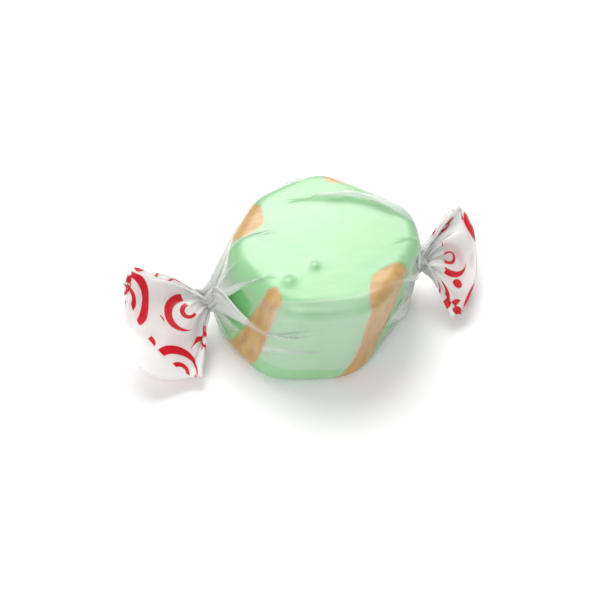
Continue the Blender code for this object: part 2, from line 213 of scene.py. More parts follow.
@dataclass
class End:
    """One twisted end: where its neck is, how far it is twisted and how its fan is laid.

    The gather is the neck's radius, and the turn is the twist's. The sheet is cut off that far past
    the neck, but for a tongue, which has its place round the sheet, as a share, and how much further
    it reaches. The fan lies ahead and across, a sector with the half angle spread and the half
    thickness thin, in so many folds. It is cupped across, droops at its far edge, and has a lobe:
    a bulge of its top layer, given by its distance past the neck, its place across the sector from
    -1 to 1, and its height.

    A pleat is its direction round the twist line where it starts and at the neck, the distance along
    the sheet at which it starts, how far it leans over, how far the paper after it dips inwards, and
    its share of the spare paper beside it. Directions run on past 360 where the sheet laps over
    itself.
    """

    side: int
    neck: tuple
    gather: float
    turn: float
    cut: float
    tongue: tuple
    ahead: tuple
    across: tuple
    spread: float
    thin: float
    folds: int
    cup: float
    droop: float
    lobe: tuple
    seed: int
    pleats: tuple

    def __post_init__(self):
        self.neck = np.array(self.neck)
        self.turn = math.radians(self.turn)
        self.spread = math.radians(self.spread)
        self.ahead = unit(self.ahead)
        self.across = unit(np.array(self.across) - np.dot(self.across, self.ahead) * self.ahead)
        over = np.cross(self.ahead, self.across)
        self.over = over * (1 if over[2] > 0 else -1)


LEFT = End(
    side=-1,
    neck=(-15.9, 0.2, 7.0),
    gather=2.7,
    turn=140,
    cut=10.8,
    tongue=(0.905, 6.2),
    ahead=(-0.84, -0.53, -0.08),
    across=(-0.02, 0.85, 0.48),
    spread=42,
    thin=1.9,
    folds=5,
    cup=1.6,
    droop=0.4,
    lobe=(3.4, -0.25, 2.4),
    seed=3,
    pleats=(
        (176, 176, 9, 60, 0, 1),
        (222, 222, 9, 60, 0, 1),
        (262, 262, 9, 60, 0, 1),
        (300, 300, 10, 55, 0, 1),
        (336, 336, 9, 60, 0, 1),
        (366, 366, 9, 60, 0, 1),
        (396, 390, -9, 78, 0.0, 4.5),
        (430, 436, 10, 75, 0, 1),
        (452, 458, 8, 75, 0, 1),
        (483, 479, 10, 70, 3.3, 1),
        (524, 536, 11, -62, 1.6, 3),
    ),
)
RIGHT = End(
    side=1,
    neck=(15.7, 2.0, 7.0),
    gather=2.4,
    turn=-140,
    cut=8.8,
    tongue=(0.9, 0.5),
    ahead=(0.88, -0.02, -0.22),
    across=(-0.28, 0.76, 0.53),
    spread=50,
    thin=1.8,
    folds=6,
    cup=1.2,
    droop=0.3,
    lobe=(3.0, 0.3, 1.8),
    seed=5,
    pleats=(
        (176, 180, 10, 60, 0.8, 1),
        (212, 212, 9, 60, 0, 1),
        (252, 252, 9, 60, 0, 1),
        (290, 290, 9, 55, 0, 1),
        (328, 328, 10, 60, 0, 1),
        (362, 366, 9, 60, 0, 1),
        (396, 436, -9, 78, 0.8, 5),
        (464, 468, 9, 70, 0, 1),
        (500, 500, 9, 60, 0, 1),
        (536, 536, 9, 60, 0, 1),
    ),
)
ENDS = (LEFT, RIGHT)


def twist_line(x):
    """The line between the two necks at x, as y and z."""
    span = RIGHT.neck - LEFT.neck
    share = (x - LEFT.neck[0]) / span[0]
    return tuple(LEFT.neck[axis] + share * span[axis] for axis in (1, 2))


def upper_hull(points):
    """The part of the points' convex hull that faces outwards, from the first to the last."""
    hull = []
    for point in points:
        while len(hull) > 1:
            (ax, ay), (bx, by) = hull[-2], hull[-1]
            if (bx - ax) * (point[1] - ay) - (by - ay) * (point[0] - ax) < 0:
                break
            hull.pop()
        hull.append(point)
    return np.array(hull)


class TautPaper:
    """How far from the twist line the paper lies where it is drawn tight from neck to neck."""

    ANGLES = 120
    STATIONS = 129
    FARTHEST = 25.0
    HALVINGS = 18
    LEAST_REACH = 0.05
    STEPS = 60

    def __init__(self):
        x = np.linspace(LEFT.neck[0], RIGHT.neck[0], self.STATIONS)
        angle = 2 * math.pi * np.arange(self.ANGLES)[:, None] / self.ANGLES
        y, z = twist_line(x)
        low = np.zeros((self.ANGLES, self.STATIONS))
        high = np.full_like(low, self.FARTHEST)
        for _ in range(self.HALVINGS):
            middle = (low + high) / 2
            places = np.broadcast_arrays(x, y + middle * np.cos(angle), z + middle * np.sin(angle))
            far = candy_distance(np.stack(places, -1)) > TOUCH
            high = np.where(far, middle, high)
            low = np.where(far, low, middle)
        self.x = x
        rows = []
        for reach in (low + high) / 2:
            reach[[0, -1]] = LEFT.gather, RIGHT.gather
            hull = upper_hull([pair for pair in zip(x, reach) if pair[1] > self.LEAST_REACH])
            rows.append(np.interp(x, hull[:, 0], hull[:, 1]))
        # The first two rows follow again after the last
        self.table = np.array(rows + rows[:2])[..., None]

    def reach_at(self, turn, x):
        """The reach at x for each of the directions turn."""
        row = (turn / (2 * math.pi) * self.ANGLES) % self.ANGLES
        column = (x - self.x[0]) / (self.x[1] - self.x[0])
        return interpolated(self.table, np.stack([row, column], -1))[..., 0]

    def station_at(self, turn, side, share):
        """Where along X a share of the way from the middle to a neck is, in the directions turn."""
        x = np.linspace(0, ENDS[side > 0].neck[0], self.STEPS)
        directions = 2 * math.pi * np.arange(self.ANGLES + 1) / self.ANGLES
        stations = []
        for direction in directions:
            reach = self.reach_at(np.full(self.STEPS, direction), x)
            length = np.pad(np.cumsum(np.hypot(np.diff(x), np.diff(reach))), (1, 0))
            stations.append(np.interp(share * length[-1], length, x))
        return np.interp(turn % (2 * math.pi), directions, stations)


TAUT = TautPaper()


def pull_together(a, b, rest, stiffness, squash):
    """Moves the points a and b towards their rest distance, by the share squash when too close."""
    between = b - a
    length = np.sqrt((between * between).sum(-1))
    error = (length - rest) / np.maximum(length, TINY) * stiffness
    error = np.where(error > 0, error, error * squash)
    move = 0.5 * error[..., None] * between
    a += move
    b -= move


def straighten(grid, reach, weight, crease_size):
    """Stiffness against bending along the columns, which gives way where the paper is creased."""
    if grid.shape[1] <= 2 * reach:
        return
    bend = 0.5 * (grid[:, 2 * reach :] + grid[:, : -2 * reach]) - grid[:, reach:-reach]
    crease = (bend * bend).sum(-1) / (crease_size * reach) ** 2
    bend *= (weight * 0.5 / (1.0 + crease))[..., None]
    grid[:, reach:-reach] += bend
    grid[:, 2 * reach :] -= bend * 0.5
    grid[:, : -2 * reach] -= bend * 0.5


def double_rows(grid):
    """One new row between each two, on a smooth curve through them."""
    fine = np.empty((2 * grid.shape[0] - 1,) + grid.shape[1:])
    middle = 0.5 * (grid[:-1] + grid[1:])
    middle[1:-1] = (9 * (grid[1:-2] + grid[2:-1]) - (grid[:-3] + grid[3:])) / 16
    fine[::2] = grid
    fine[1::2] = middle
    return fine


class Paper:
    """The sheet as a grid of points: rows at along from its middle, columns at around from its edge.

    MEASURED_AT is how far from the middle the section is taken that gives the sheet its width, and
    INNER_WIDTH is how far from its first edge the inner layer clings to the candy.
    """

    MEASURED_AT = 4.5
    INNER_WIDTH = 18
    LAYER_SHARE = 0.8
    MARGIN = 0.5
    ROUGHNESS = 0.05
    SEED = 7

    # Pleats: the spare width that each part keeps at least, the length over which a pleat grows, how
    # flat it lies at the neck and from which share of the way on, and where the dips come and go
    LEAST_SPARE = 0.02
    GROWTH = (-1, 3)
    FLAT_LEAN = math.radians(86)
    LEANS = (0.55, 1.0)
    DIPS_FROM = (0.35, 0.6)
    DIPS_TO = (0.75, 1.0)
    SLOPE_STEP = 0.2

    # Where the paper clings to the candy, by the distance along the sheet and from the candy, and how
    # strongly. From where on it is held to its folds, and how strongly the necks are drawn into place.
    CLINGS_TO = (9, 14)
    CLINGS_NEAR = (0.4, 1.2)
    CLING = 0.12
    INNER_CLING = 0.3
    HELD_FROM = (5, 9)
    NECK_DRAG = 0.25

    def __init__(self):
        self.turn = np.radians(np.arange(LAP_START, LAP_END + 361, 1.0))
        off_middle = np.full_like(self.turn, self.MEASURED_AT)
        reach = 0.5 * (TAUT.reach_at(self.turn, off_middle) + TAUT.reach_at(self.turn, -off_middle))
        tucked = TUCK_WIDTH * smooth_step(TUCK - 1, TUCK + 1, np.degrees(self.turn))
        self.length = self.section_length(reach) + tucked
        self.width = self.length[-1]
        self.lap = self.length[LAP_END - LAP_START]
        self.size = self.width / round(self.width / GRID)
        beyond = TO_NECK + NECK_LENGTH + self.MARGIN
        low, high = (end.side * (beyond + end.cut + end.tongue[1]) for end in ENDS)
        rows = np.arange(math.ceil(low / self.size), math.floor(high / self.size) + 1)
        self.along = rows * self.size
        self.around = np.arange(round(self.width / self.size) + 1) * self.size
        risen = smooth_step(0, self.LAYER_SHARE * self.width, self.around)
        self.layer = TOUCH + LAYER_STEP * risen
        self.inner = 1 - smooth_step(0, self.INNER_WIDTH, self.around)
        self.folded = self.lay_in_folds()
        rough = np.random.default_rng(self.SEED).normal(size=self.folded.shape)
        self.grid = self.folded + self.ROUGHNESS * rough

    def lay_in_folds(self):
        folded = np.zeros((len(self.along), len(self.around), 3))
        for end in ENDS:
            rows = end.side * self.along >= 0
            folded[rows] = [self.folded_row(end, along) for along in np.abs(self.along[rows])]
            folded[self.fan_rows(end)] = self.fan_goal(end)
        return folded

    def section_length(self, reach):
        """How far round the sheet's section each direction is, from the sheet's first edge."""
        places = np.stack([reach * np.cos(self.turn), reach * np.sin(self.turn)], -1)
        return np.pad(np.cumsum(np.linalg.norm(np.diff(places, axis=0), axis=1)), (1, 0))

    def folded_row(self, end, along):
        """One row of the sheet, taut from candy to neck, with its spare width in leaning pleats."""
        share = min(along / TO_NECK, 1.0)
        station = TAUT.station_at(self.turn, end.side, share)
        reach = TAUT.reach_at(self.turn, station)
        further = TAUT.reach_at(self.turn, station + end.side * self.SLOPE_STEP)
        slope = (further - reach) / self.SLOPE_STEP
        length = self.section_length(reach)
        at_start, at_neck, start, lean, dip, greed = np.transpose(end.pleats)
        crest_turn = np.radians(at_start + (at_neck - at_start) * share)
        crest_turn = np.concatenate([self.turn[:1], crest_turn, self.turn[-1:]])
        crest_around = np.interp(crest_turn, self.turn, self.length)
        crest_length = np.interp(crest_turn, self.turn, length)
        spare = np.maximum(np.diff(crest_around) - np.diff(crest_length), self.LEAST_SPARE)
        greed = np.pad(greed, 1)
        after = spare * greed[:-1] / (greed[:-1] + greed[1:])
        before = spare - after
        grown = smooth_step(start + self.GROWTH[0], start + self.GROWTH[1], along)
        height = np.pad(0.5 * (before[:-1] + after[1:]) * grown, 1)
        lean = np.radians(np.pad(lean, 1))
        lean = lean + (np.sign(lean) * self.FLAT_LEAN - lean) * smooth_step(*self.LEANS, share)
        # Each column is on the flank of the pleat before it, on that of the one after it, or between
        part = np.searchsorted(crest_around, self.around, side="right") - 1
        part = np.clip(part, 0, len(spare) - 1)
        past = self.around - crest_around[part]
        left = crest_around[part + 1] - self.around
        climb = 1 - past / np.maximum(after[part], SMALL)
        climb = np.where(past < after[part], climb, 0.0) * height[part]
        other = 1 - left / np.maximum(before[part], SMALL)
        other = np.where(left < before[part], other, 0.0) * height[part + 1]
        tilt = np.where(climb > 0, lean[part], lean[part + 1])
        climb = np.maximum(climb, other)
        flat = past + left - after[part] - before[part]
        within = np.clip((past - after[part]) / np.maximum(flat, SMALL), 0, 1)
        at = crest_length[part] + within * (crest_length[part + 1] - crest_length[part])
        turn = np.interp(at, length, self.turn)
        reach, station, slope = (
            np.interp(turn, self.turn, values) for values in (reach, station, slope)
        )
        depth = np.pad(dip, (1, 0))[part] * np.sin(math.pi * within) ** 2
        depth = depth * smooth_step(*self.DIPS_FROM, share)
        depth = depth * (1 - smooth_step(*self.DIPS_TO, share))
        out = climb * np.cos(tilt) - depth + self.layer
        steep = np.sqrt(1 + slope**2)
        reach = np.maximum(reach + out / steep, 0.5 * end.gather)
        station = station - end.side * out * slope / steep
        turn = turn + climb * np.sin(tilt) / np.maximum(reach, end.gather)
        beyond = max(along - TO_NECK, 0.0)
        turn = turn + end.turn * smooth_step(0, NECK_LENGTH, beyond)
        y, z = twist_line(station)
        place = (station + end.side * beyond, y + reach * np.cos(turn), z + reach * np.sin(turn))
        return np.stack(place, -1)

    def stretch_and_bend(self, squash, bends, crease):
        """One pass that keeps the sheet's lengths, its right angles and its smoothness."""
        grid, size = self.grid, self.size
        diagonal = size * math.sqrt(2)
        for a in (0, 1):
            pull_together(grid[:, a:-1:2], grid[:, a + 1 :: 2], size, 1.0, squash)
            pull_together(grid[a:-1:2], grid[a + 1 :: 2], size, 1.0, squash)
            near, far = grid[a:-1:2], grid[a + 1 :: 2]
            for b in (0, 1):
                pull_together(near[:, b:-1:2], far[:, b + 1 :: 2], diagonal, 0.5, squash)
                pull_together(near[:, b + 1 :: 2], far[:, b:-1:2], diagonal, 0.5, squash)
        for reach, weight in bends:
            straighten(grid, reach, weight, crease * size)
            straighten(np.swapaxes(grid, 0, 1), reach, weight, crease * size)

    def touch_candy(self):
        """Keeps the paper out of the candy, and lets it cling where it is close and isn't pleated."""
        distance, slope = CANDY.look_up(self.grid)
        gap = self.layer[None, :] - distance
        over_candy = 1 - smooth_step(*self.CLINGS_TO, np.abs(self.along))[:, None]
        near = 1 - smooth_step(*self.CLINGS_NEAR, distance)
        cling = (self.CLING + self.INNER_CLING * self.inner[None, :]) * near * over_candy
        push = np.maximum(gap, 0.0) + cling * np.minimum(gap, 0.0)
        self.grid += slope * push[..., None]

    def hold_folds(self, strength):
        """Draws the sheet towards the folds in which it was laid."""
        held = smooth_step(*self.HELD_FROM, np.abs(self.along))[:, None, None]
        self.grid += (self.folded - self.grid) * strength * held

    def hold_necks(self):
        """Keeps both necks within their radius and draws them to their places."""
        for end in ENDS:
            past = end.side * self.along - TO_NECK
            rows = (past > 0) & (past < NECK_LENGTH)
            part = self.grid[rows]
            off = part[..., 1:] - end.neck[1:]
            reach = np.linalg.norm(off, axis=-1, keepdims=True)
            within = np.minimum(1.0, end.gather / np.maximum(reach, SMALL))
            part[..., 1:] = end.neck[1:] + off * within
            place = end.neck[0] + end.side * past[rows][:, None]
            part[..., 0] += (place - part[..., 0]) * self.NECK_DRAG
            self.grid[rows] = part

    def fan_goal(self, end):
        """Where a fan's paper is laid: a few wide folds over each other, spreading from the neck."""
        past = (end.side * self.along - TO_NECK - NECK_LENGTH)[self.fan_rows(end)][:, None]
        rng = np.random.default_rng(end.seed)
        cuts = np.pad(np.cumsum(rng.uniform(*FOLD_WIDTHS, end.folds)), (1, 0))
        cuts /= cuts[-1]
        share = self.around / self.around[-1]
        fold = np.clip(np.searchsorted(cuts, share, side="right") - 1, 0, end.folds - 1)
        within = (share - cuts[fold]) / (cuts[fold + 1] - cuts[fold])
        swing = np.where(fold % 2 == 0, 2 * within - 1, 1 - 2 * within)
        swing = np.sin(swing * math.pi / 2 * FOLD_SWING)[None, :]
        uneven = 1 + FAN_UNEVEN * rng.uniform(-1, 1, end.folds + 1)[fold][None, :]
        level = np.interp(share, [0, 0.5, 1.0], FAN_LEVELS)[None, :]
        reach = np.clip(past / end.cut, 0, 1)
        top = smooth_step(*TOP_LEVEL, level)
        opened = smooth_step(*FAN_OPENS, reach)
        turn = end.spread * swing * (uneven + TOP_OPEN * top) * opened
        ahead = past * np.cos(turn)
        across = past * np.sin(turn) + FOLD_AT_NECK * end.gather * swing
        thin = end.thin * (THIN_AT_NECK + (1 - THIN_AT_NECK) * reach)
        over = thin * level + end.cup * reach * (swing**2 - CUP_BALANCE) - end.droop * reach**2
        bearing = turn / end.spread
        wave = waves(FAN_WAVES, bearing, end.seed)
        grown = smooth_step(0.0, WAVES_GROWN, reach)
        over = over + FAN_WAVE * wave * grown * (0.6 + 0.4 * reach)
        place, sideways, height = end.lobe
        off_length, off_width = (past - place) / LOBE_LENGTH, (bearing - sideways) / LOBE_WIDTH
        over = over + height * np.exp(-(off_length**2) - off_width**2) * top
        goal = end.neck + np.array([end.side * NECK_LENGTH, 0.0, 0.0])
        for distance, direction in ((ahead, end.ahead), (across, end.across), (over, end.over)):
            goal = goal + distance[..., None] * direction
        return goal

    def fan_rows(self, end):
        return end.side * self.along > TO_NECK + NECK_LENGTH

    def relax(self, steps, passes, squash, bends, crease, hold):
        """Lets the sheet settle over the candy and above the table, held to its folds by a share."""
        for _ in range(steps):
            for _ in range(passes):
                self.stretch_and_bend(squash, bends, crease)
            self.hold_folds(hold)
            self.touch_candy()
            self.hold_necks()
            self.grid[..., 2] = np.maximum(self.grid[..., 2], TABLE_GAP)

    def refine(self):
        """Halves the grid's spacing, so that finer folds can form."""
        self.grid = double_rows(self.grid)
        self.grid = np.swapaxes(double_rows(np.swapaxes(self.grid, 0, 1)), 0, 1)
        self.size /= 2
        for name in ("along", "around", "layer", "inner"):
            setattr(self, name, double_rows(getattr(self, name)))
        self.folded = self.lay_in_folds()


def make_paper():
    """The settled sheet. A bend is over how many cells it is resisted, and how strongly."""
    paper = Paper()
    stiff = ((1, 0.25), (2, 0.1))
    paper.relax(steps=60, passes=4, squash=1.0, bends=stiff, crease=0.2, hold=0.25)
    paper.relax(steps=60, passes=4, squash=1.0, bends=stiff, crease=0.2, hold=0.10)
    paper.refine()
    supple = ((1, 0.2), (2, 0.06))
    paper.relax(steps=120, passes=4, squash=0.6, bends=supple, crease=0.12, hold=0.08)
    paper.refine()
    smoothing = ((1, 0.25), (2, 0.06))
    paper.relax(steps=40, passes=3, squash=0.3, bends=smoothing, crease=0.1, hold=0.05)
    return paper


def new_object(name, data):
    made = bpy.data.objects.new(name, data)
    bpy.context.scene.collection.objects.link(made)
    return made


def make_mesh(name, points, faces):
    mesh = bpy.data.meshes.new(name)
    mesh.from_pydata((np.asarray(points) * METRE).tolist(), [], faces)
    mesh.update()
    mesh.shade_smooth()
    return new_object(name, mesh)


# The lapped sheet's two corners on the front lie back inside the twists, so that the second layer
# covers the front alone: where these lines run in the flat sheet, and how uneven the cuts are
CORNER_WAVES = ((0.45, 0.9, 0), (0.25, 2.3, 1))
END_WAVES = ((0.35, 0.21, 1), (0.15, 0.9, 0))
INNER_CORNER = -10.8
OUTER_CORNER = 1.8
OUTER_SLANT = 0.98
TONGUE_WIDTH = 0.042
LAP_SETBACK = 0.3


def kept_paper(around, along, width, lap):
    """How far inside the sheet's outline a point of the flat sheet is, negative outside."""
    inner = along - INNER_CORNER + waves(CORNER_WAVES, around)
    inner = np.maximum(around - lap, inner)
    from_edge = width - around
    outer = np.maximum(from_edge - lap, OUTER_CORNER + OUTER_SLANT * from_edge - along)
    kept = np.minimum(inner, outer)
    for end in ENDS:
        place, extra = end.tongue
        reach = end.cut + extra * np.exp(-(((around / width - place) / TONGUE_WIDTH) ** 2))
        uneven = waves(END_WAVES, around, end.seed)
        kept = np.minimum(kept, TO_NECK + NECK_LENGTH + reach + uneven - end.side * along)
    return kept


def store_value(piece, name, values):
    made = piece.data.attributes.new(name, "FLOAT", "POINT")
    made.data.foreach_set("value", values.astype(np.float32))


def sunk_depth(grid, along):
    """How far the paper lies below its taut surface between the necks."""
    y, z = twist_line(grid[..., 0])
    off_y, off_z = grid[..., 1] - y, grid[..., 2] - z
    taut = TAUT.reach_at(np.arctan2(off_z, off_y), grid[..., 0])
    return (taut - np.hypot(off_z, off_y)) * (np.abs(along) < TO_NECK)


def moved_to_outline(places, width, lap, size):
    """Places in the flat sheet, moved from near its outline onto it."""
    nudge = 0.05
    for _ in range(3):
        value = kept_paper(*places, width, lap)
        slope = []
        for step in nudge * np.eye(2)[..., None]:
            more = kept_paper(*(places + step), width, lap)
            slope.append((more - kept_paper(*(places - step), width, lap)) / (2 * nudge))
        slope = np.array(slope)
        steep = np.maximum((slope**2).sum(0), 0.2)
        places = places - np.clip(value * slope / steep, -size, size)
    return places


def closed_sheet(quads, second):
    """Faces of a thin closed body: the quads on both sides of the sheet and a rim between them.

    The points of the second side follow those of the first, from the index second on.
    """
    sides = np.stack([quads, np.roll(quads, -1, axis=1)], -1).reshape(-1, 2)
    code = np.sort(sides, axis=1) @ (second, 1)
    _, first, count = np.unique(code, return_index=True, return_counts=True)
    a, b = sides[first[count == 1]].T
    rim = np.stack([a, b, second + b, second + a], -1)
    return np.concatenate([quads[:, ::-1], second + quads, rim])


def store_flat_places(piece, places):
    """Keeps each point's place in the flat sheet as the print's coordinates."""
    corners = np.zeros(len(piece.data.loops), int)
    piece.data.loops.foreach_get("vertex_index", corners)
    layer = piece.data.uv_layers.new(name="flat_sheet")
    layer.data.foreach_set("uv", (places[corners] / SHEET_UNIT).astype(np.float32).reshape(-1))


def wrapper_piece(paper):
    """The sheet as a thin closed body, with its flat coordinates and its distance from the candy."""
    grid, size = paper.grid, paper.size
    rows, columns = grid.shape[:2]
    width, lap = paper.around[-1], paper.lap - LAP_SETBACK
    along, around = np.meshgrid(paper.along, paper.around, indexing="ij")
    middle_around, middle_along = around[:-1, :-1] + size / 2, along[:-1, :-1] + size / 2
    kept = kept_paper(middle_around, middle_along, width, lap) > 0
    corner = np.arange(rows * columns).reshape(rows, columns)
    quads = [corner[:-1, :-1], corner[:-1, 1:], corner[1:, 1:], corner[1:, :-1]]
    quads = np.stack(quads, -1)[kept]
    # The corners next to a cut are moved onto its line
    uses = np.bincount(quads.reshape(-1), minlength=rows * columns).reshape(rows, columns)
    cut = (uses > 0) & (uses < 4)
    cut[[0, -1]] = False
    cut[:, [0, -1]] = False
    normal = np.cross(np.gradient(grid, axis=1), np.gradient(grid, axis=0))
    normal /= np.maximum(np.linalg.norm(normal, axis=-1, keepdims=True), TINY)
    moved = moved_to_outline(np.stack([around[cut], along[cut]]), width, lap, size)
    around[cut], along[cut] = moved
    places = np.stack([moved[1] - paper.along[0], moved[0]], -1) / size
    grid = grid.copy()
    grid[cut] = interpolated(paper.grid, places)
    half = PAPER_THICKNESS / 2
    points = np.stack([grid + normal * half, grid - normal * half]).reshape(-1, 3)
    used, faces = np.unique(closed_sheet(quads, rows * columns), return_inverse=True)
    made = make_mesh("waxed_paper_wrapper", points[used], faces.reshape(-1, 4).tolist())
    values = {
        "lift": CANDY.look_up(grid)[0],
        "caramel": stripe_field(grid),
        # The sunk depth drives the painted shade in the paper's hollows
        "sunk": sunk_depth(grid, along),
    }
    for name, value in values.items():
        store_value(made, name, np.tile(value.reshape(-1), 2)[used])
    flat = np.stack([around, along], -1).reshape(-1, 2)
    store_flat_places(made, np.tile(flat, (2, 1))[used])
    return made


def candy_rings(proud, around, steps):
    """Rings of points over the candy's surface, or a little proud of it, from below to above."""
    theta = 2 * np.pi * np.arange(around) / around
    bend = EDGE_ROUND + proud
    half = HALF_HEIGHT - EDGE_ROUND
    turns = np.linspace(0, math.pi / 2, steps)
    lower = [(bend * math.sin(t), -half - bend * math.cos(t)) for t in turns]
    upper = [(bend * math.sin(t), half + bend * math.cos(t)) for t in turns[::-1]]
    wall = [(bend, height) for height in np.linspace(-half, half, steps)[1:-1]]
    inwards = np.linspace(0.04, 0.96, 2 * steps)
    rings = []

    def ring(radius, height):
        shift_x, shift_y = lean_at(height / CANDY_HEIGHT + 0.5)
        x, y = shift_x + radius * np.cos(theta), shift_y + radius * np.sin(theta)
        rise = face_height(x, y, radius) if height > 0 else 0.0
        rings.append(np.stack(np.broadcast_arrays(x, y, MIDDLE + height + rise), -1))

    for share in inwards:
        ring(share * (rim_radius(theta, 0.0) - EDGE_ROUND), -half - bend)
    for out, height in lower + wall + upper:
        ring(rim_radius(theta, height / CANDY_HEIGHT + 0.5) - EDGE_ROUND + out, height)
    for share in inwards[::-1]:
        ring(share * (rim_radius(theta, 1.0) - EDGE_ROUND), half + bend)
    return np.array(rings)


def stripe_centre(index, up):
    """The middle of a stripe's round bar at the share up of the candy's height."""
    below, above = STRIPES[index][:2]
    heading = np.radians(below + (above - below) * np.clip(up, 0.0, 1.0) ** STRIPE_SLANT)
    reach = rim_radius(heading, up) - STRIPE_INSET + STRIPE_BULGE * stripe_radius(index, up)
    shift_x, shift_y = lean_at(up)
    return reach * np.cos(heading) + shift_x, reach * np.sin(heading) + shift_y


def stripe_radius(index, up):
    below, above = STRIPES[index][2:]
    return below + (above - below) * np.clip(up, 0, 1)


def stripe_wobble(index, turn, up):
    """How much wider a stripe is at the angle turn and the share up of the candy's height."""
    broad = np.sin(3 * turn + index) * np.cos(2.4 * up + index)
    fine = np.sin(7 * turn + 5 * up + 2 * index)
    return 0.22 * broad + 0.12 * fine


def closed_rings(name, rings):
    """A closed body from rings of points, with a middle point at each end."""
    count, around = rings.shape[:2]
    middles = [rings[0].mean(0), rings[-1].mean(0)]
    points = np.concatenate([rings.reshape(-1, 3), middles])
    low = np.arange(count - 1)[:, None] * around + np.arange(around)
    after = np.arange(count - 1)[:, None] * around + (np.arange(around) + 1) % around
    faces = np.stack([low, after, after + around, low + around], -1).reshape(-1, 4).tolist()
    last = (count - 1) * around
    for a in range(around):
        b = (a + 1) % around
        faces.append((count * around, b, a))
        faces.append((count * around + 1, last + a, last + b))
    return make_mesh(name, points, faces)


def stripe_field(points):
    """How far inside a stripe each point is, negative outside, for the nearest stripe."""
    up = (points[..., 2] - CANDY_BASE) / CANDY_HEIGHT
    best = np.full(points.shape[:-1], -9.0)
    for index in range(len(STRIPES)):
        x, y = stripe_centre(index, np.clip(up, -0.1, 1.1))
        off_x, off_y = points[..., 0] - x, points[..., 1] - y
        wobble = stripe_wobble(index, np.arctan2(off_y, off_x), up)
        best = np.maximum(best, stripe_radius(index, up) + wobble - np.hypot(off_x, off_y))
    return best


def store_stripe_field(piece):
    points = np.zeros(len(piece.data.vertices) * 3)
    piece.data.vertices.foreach_get("co", points)
    store_value(piece, "caramel", stripe_field(points.reshape(-1, 3) / METRE))


def stripe_piece(index):
    """One caramel stripe: the part of the candy's rim inside a slanting, uneven bar."""
    proud, past_face, around = 0.02, 4.0, 48
    made = closed_rings(f"caramel_stripe_{index + 1}_soft", candy_rings(proud, 200, 12))
    turn = 2 * np.pi * np.arange(around) / around
    rings = []
    for height in np.linspace(-past_face, CANDY_HEIGHT + past_face, 30):
        up = height / CANDY_HEIGHT
        x, y = stripe_centre(index, np.clip(up, -0.1, 1.1))
        wide = stripe_radius(index, up) + stripe_wobble(index, turn, up)
        ring = [x + wide * np.cos(turn), y + wide * np.sin(turn), CANDY_BASE + height]
        rings.append(np.stack(np.broadcast_arrays(*ring), -1))
    tool = closed_rings("stripe_tool", np.array(rings))
    cut = made.modifiers.new("cut", "BOOLEAN")
    cut.operation = "INTERSECT"
    cut.object = tool
    bpy.context.view_layer.update()
    graph = bpy.context.evaluated_depsgraph_get()
    mesh = bpy.data.meshes.new_from_object(made.evaluated_get(graph))
    made.modifiers.clear()
    made.data = mesh
    mesh.shade_smooth()
    mesh.set_sharp_from_angle(angle=math.radians(40))
    bpy.data.objects.remove(tool)
    return made


class Nodes:
    """Short calls for building one material's nodes."""

    def __init__(self, name):
        self.material = bpy.data.materials.new(name)
        self.material.use_nodes = True
        self.tree = self.material.node_tree
        self.tree.nodes.clear()

    def add(self, kind, sockets=None, **settings):
        made = self.tree.nodes.new("ShaderNode" + kind)
        for key, value in settings.items():
            setattr(made, key, value)
        for key, value in (sockets or {}).items():
            self.put(made.inputs[key], value)
        return made

    def out(self, kind, sockets=None, **settings):
        """The first output of a new node."""
        return self.add(kind, sockets, **settings).outputs[0]

    def put(self, socket, value):
        if isinstance(value, bpy.types.NodeSocket):
            self.tree.links.new(value, socket)
        else:
            socket.default_value = value

    def math(self, operation, *values):
        made = self.add("Math", operation=operation)
        for socket, value in zip(made.inputs, values):
            self.put(socket, value)
        return made.outputs[0]

    def times(self, a, b):
        return self.math("MULTIPLY", a, b)

    def plus(self, a, b):
        return self.math("ADD", a, b)

    def ramp(self, value, low, high, to_low=0.0, to_high=1.0):
        """A smooth change from to_low to to_high as value goes from low to high."""
        made = self.add("MapRange", interpolation_type="SMOOTHSTEP")
        for socket, number in zip(made.inputs[:5], (value, low, high, to_low, to_high)):
            self.put(socket, number)
        return made.outputs[0]

    def mix(self, share, a, b):
        made = self.add("Mix", data_type="RGBA")
        for socket, value in zip((made.inputs[0], made.inputs[6], made.inputs[7]), (share, a, b)):
            self.put(socket, value)
        return made.outputs[2]

    def mix_value(self, share, a, b):
        return self.out("Mix", {0: share, 2: a, 3: b})

    def centred(self, value, size):
        """A noise of 0 to 1 as a change of up to half of size, up or down."""
        return self.times(self.math("SUBTRACT", value, 0.5), size)

    def attribute(self, name):
        return self.add("Attribute", attribute_name=name).outputs["Fac"]

    def position(self):
        return self.add("TexCoord").outputs["Object"]

    def noise(self, vector, scale, detail=3.0, roughness=0.5):
        sockets = {"Vector": vector, "Scale": scale, "Detail": detail, "Roughness": roughness}
        return self.add("TexNoise", sockets).outputs["Fac"]

    def bump(self, height, distance, strength=1.0):
        sockets = {"Height": height, "Distance": distance, "Strength": strength}
        return self.out("Bump", sockets)

    def finish(self, shader):
        self.add("OutputMaterial", {"Surface": shader})
        return self.material


# The candy's colours: its deep and pale streaks and the clouds in the green
GREEN_DEEP = (0.15, 0.52, 0.155, 1)
GREEN_PALE = (0.195, 0.59, 0.20, 1)
GREEN_CLOUD = (0.175, 0.56, 0.175, 1)
CARAMEL_DEEP = (0.50, 0.27, 0.06, 1)
CARAMEL_PALE = (0.62, 0.38, 0.11, 1)
STREAK_SCALE = (260.0, 900.0, 420.0)
CLOUD_SCALE = 170.0


